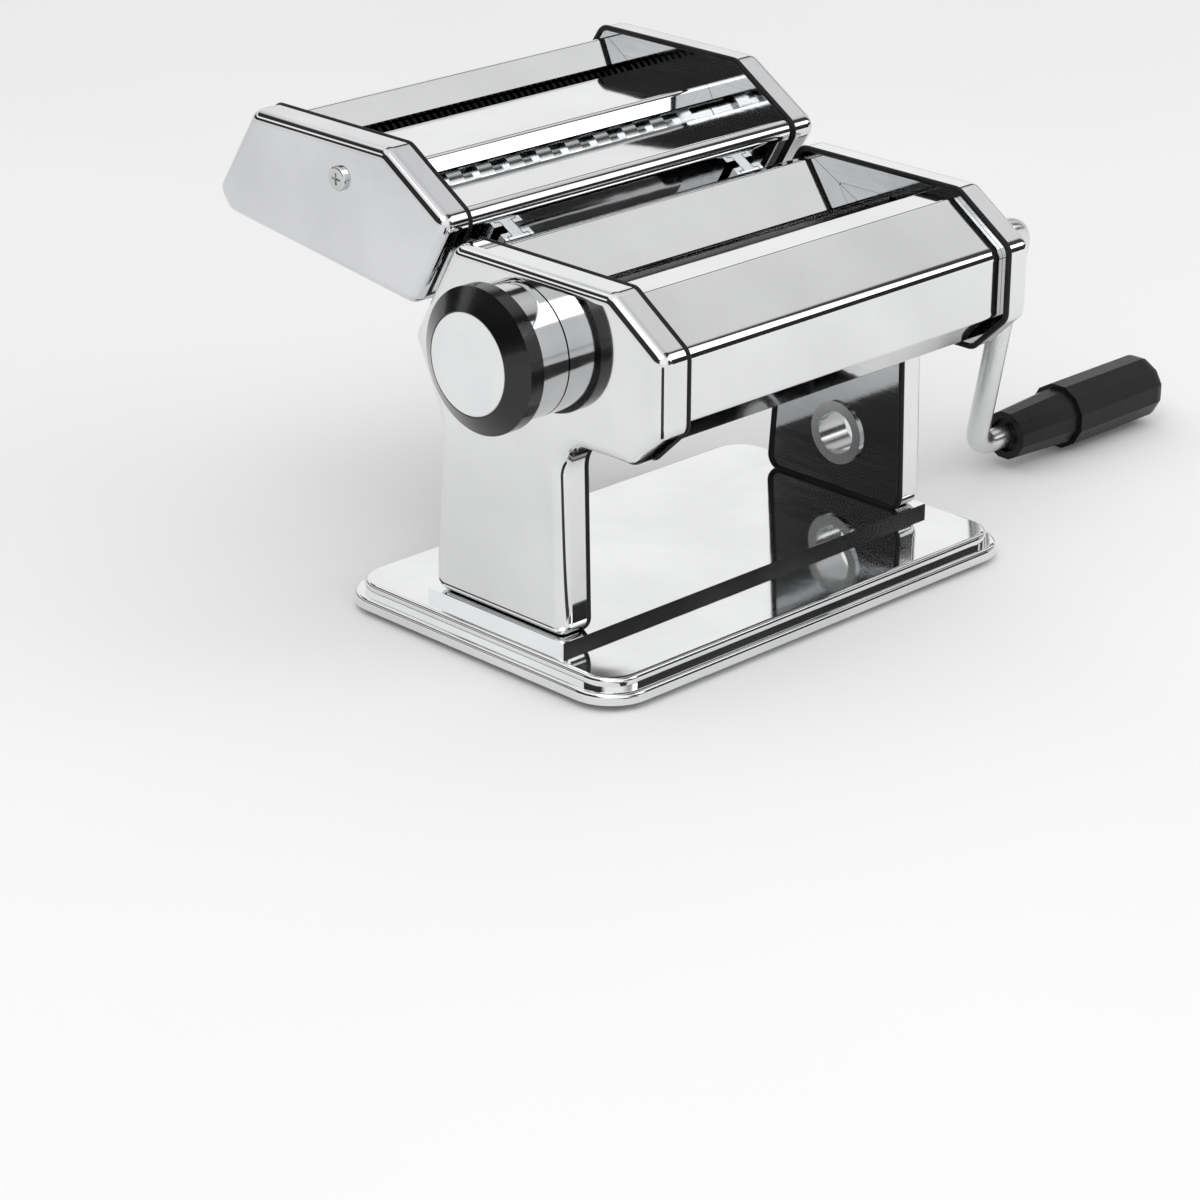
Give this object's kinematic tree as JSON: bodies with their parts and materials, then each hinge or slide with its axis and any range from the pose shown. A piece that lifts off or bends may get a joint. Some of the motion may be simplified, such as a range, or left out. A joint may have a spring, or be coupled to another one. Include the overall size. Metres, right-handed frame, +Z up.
{
  "type": "pasta roller machine",
  "caption": "Hand-cranked pasta roller machine with chromed sheet-metal body, geared smooth rollers, pull-and-turn thickness knob, lift-off ribbon cutter and removable bent crank",
  "frame": {"origin": "on the table, under the middle of the whole box with the crank in its socket", "axes": "+X along the rollers toward the crank, -Y the front of the machine, +Z up"},
  "size_m": [0.3386, 0.2022, 0.1524],
  "materials": {
    "chrome_sheet": "gloss",
    "chrome_base": "gloss",
    "chrome_fittings": "gloss",
    "crank_steel": "satin",
    "knob_sleeve_chrome": "gloss",
    "roller_steel": "satin",
    "frame_steel": "satin",
    "gear_steel": "satin",
    "bush_brass": "satin",
    "knob_black": "gloss",
    "knob_cap_pale": "satin",
    "grip_black": "satin",
    "foot_rubber": "matte"
  },
  "bodies": {
    "frame": {"base_plate": "chrome_base", "rubber_feet": "foot_rubber", "base_screws": "chrome_fittings", "left_end_plate": "chrome_sheet", "right_end_plate": "chrome_sheet", "left_frame_plate": "frame_steel", "right_frame_plate": "frame_steel", "tie_rods": "frame_steel", "end_plate_screw": "chrome_fittings", "front_cover": "chrome_sheet", "rear_cover": "chrome_sheet", "front_scraper": "frame_steel", "rear_scraper": "frame_steel", "front_roller_bushes": "bush_brass", "adjuster_bushes": "bush_brass", "index_ring": "frame_steel", "crank_socket_collar": "chrome_fittings", "clamp_ferrule": "chrome_fittings", "cutter_rails": "frame_steel"},
    "front_roller": {"front_roller": "roller_steel", "front_roller_gear": "gear_steel"},
    "crank": {"crank_rod": "crank_steel", "grip_spindle": "crank_steel"},
    "grip": {"crank_grip": "grip_black"},
    "rear_sliders": {"rear_roller_sliders": "frame_steel"},
    "rear_roller": {"rear_roller": "roller_steel", "rear_roller_gear": "gear_steel"},
    "adjuster": {"adjuster_shaft": "frame_steel"},
    "knob": {"knob_body": "knob_sleeve_chrome", "knob_ring": "knob_black", "knob_cap": "knob_cap_pale", "knob_spring": "frame_steel", "index_pin": "frame_steel"},
    "cutter": {"cutter_left_end_plate": "chrome_sheet", "cutter_right_end_plate": "chrome_sheet", "cutter_left_frame_plate": "frame_steel", "cutter_right_frame_plate": "frame_steel", "cutter_front_cover": "chrome_sheet", "cutter_bridge": "chrome_sheet", "cutter_rear_cover": "chrome_sheet", "cutter_tie_rods": "frame_steel", "cutter_screws": "chrome_fittings", "cutter_bushes": "bush_brass", "cutter_socket_collars": "chrome_fittings", "wide_comb": "frame_steel", "narrow_comb": "frame_steel", "cutter_hooks": "frame_steel"},
    "wide_driven": {"wide_driven_cutter": "roller_steel", "wide_driven_gear": "gear_steel"},
    "wide_mate": {"wide_mate_cutter": "roller_steel", "wide_mate_gear": "gear_steel"},
    "narrow_driven": {"narrow_driven_cutter": "roller_steel", "narrow_driven_gear": "gear_steel"},
    "narrow_mate": {"narrow_mate_cutter": "roller_steel", "narrow_mate_gear": "gear_steel"}
  },
  "joints": [
    {"name": "front_roller_turn", "type": "hinge", "parent": "frame", "child": "front_roller", "pos_m": [-0.06425, -0.06578, 0.1032], "axis": [1, 0, 0], "continuous": true},
    {"name": "crank_pull", "type": "slide", "parent": "front_roller", "child": "crank", "axis": [1, 0, 0], "range_m": [0, 0.028]},
    {"name": "grip_spin", "type": "hinge", "parent": "crank", "child": "grip", "pos_m": [0.12575, -0.03674, 0.01275], "axis": [1, 0, 0], "continuous": true},
    {"name": "knob_turn", "type": "hinge", "parent": "frame", "child": "adjuster", "pos_m": [-0.06425, -0.04088, 0.1032], "axis": [1, 0, 0], "range_deg": [0, 140]},
    {"name": "gap_slide", "type": "slide", "parent": "frame", "child": "rear_sliders", "axis": [0, -1, 0], "range_m": [0, 0.0025]},
    {"name": "rear_roller_turn", "type": "hinge", "parent": "rear_sliders", "child": "rear_roller", "pos_m": [-0.06425, -0.03963, 0.1032], "axis": [1, 0, 0], "continuous": true},
    {"name": "knob_pull", "type": "slide", "parent": "adjuster", "child": "knob", "axis": [-1, 0, 0], "range_m": [0, 0.004], "stiffness_N_per_m": 400, "springref_m": -0.001},
    {"name": "cutter_lift", "type": "slide", "parent": "frame", "child": "cutter", "axis": [0, -0.5, 0.866], "range_m": [0, 0.07]},
    {"name": "wide_driven_turn", "type": "hinge", "parent": "cutter", "child": "wide_driven", "pos_m": [-0.06425, 0.01832, 0.1253], "axis": [1, 0, 0], "continuous": true},
    {"name": "wide_mate_turn", "type": "hinge", "parent": "cutter", "child": "wide_mate", "pos_m": [-0.06425, 0.03498, 0.12749], "axis": [1, 0, 0], "continuous": true},
    {"name": "narrow_driven_turn", "type": "hinge", "parent": "cutter", "child": "narrow_driven", "pos_m": [-0.06425, 0.05862, 0.1306], "axis": [1, 0, 0], "continuous": true},
    {"name": "narrow_mate_turn", "type": "hinge", "parent": "cutter", "child": "narrow_mate", "pos_m": [-0.06425, 0.07528, 0.13279], "axis": [1, 0, 0], "continuous": true}
  ],
  "couplings": [
    {"joint": "rear_roller_turn", "follows": "front_roller_turn", "ratio": -1},
    {"joint": "gap_slide", "follows": "knob_turn", "m_per_rad": 0.001022},
    {"joint": "wide_mate_turn", "follows": "wide_driven_turn", "ratio": -1},
    {"joint": "narrow_mate_turn", "follows": "narrow_driven_turn", "ratio": -1}
  ]
}
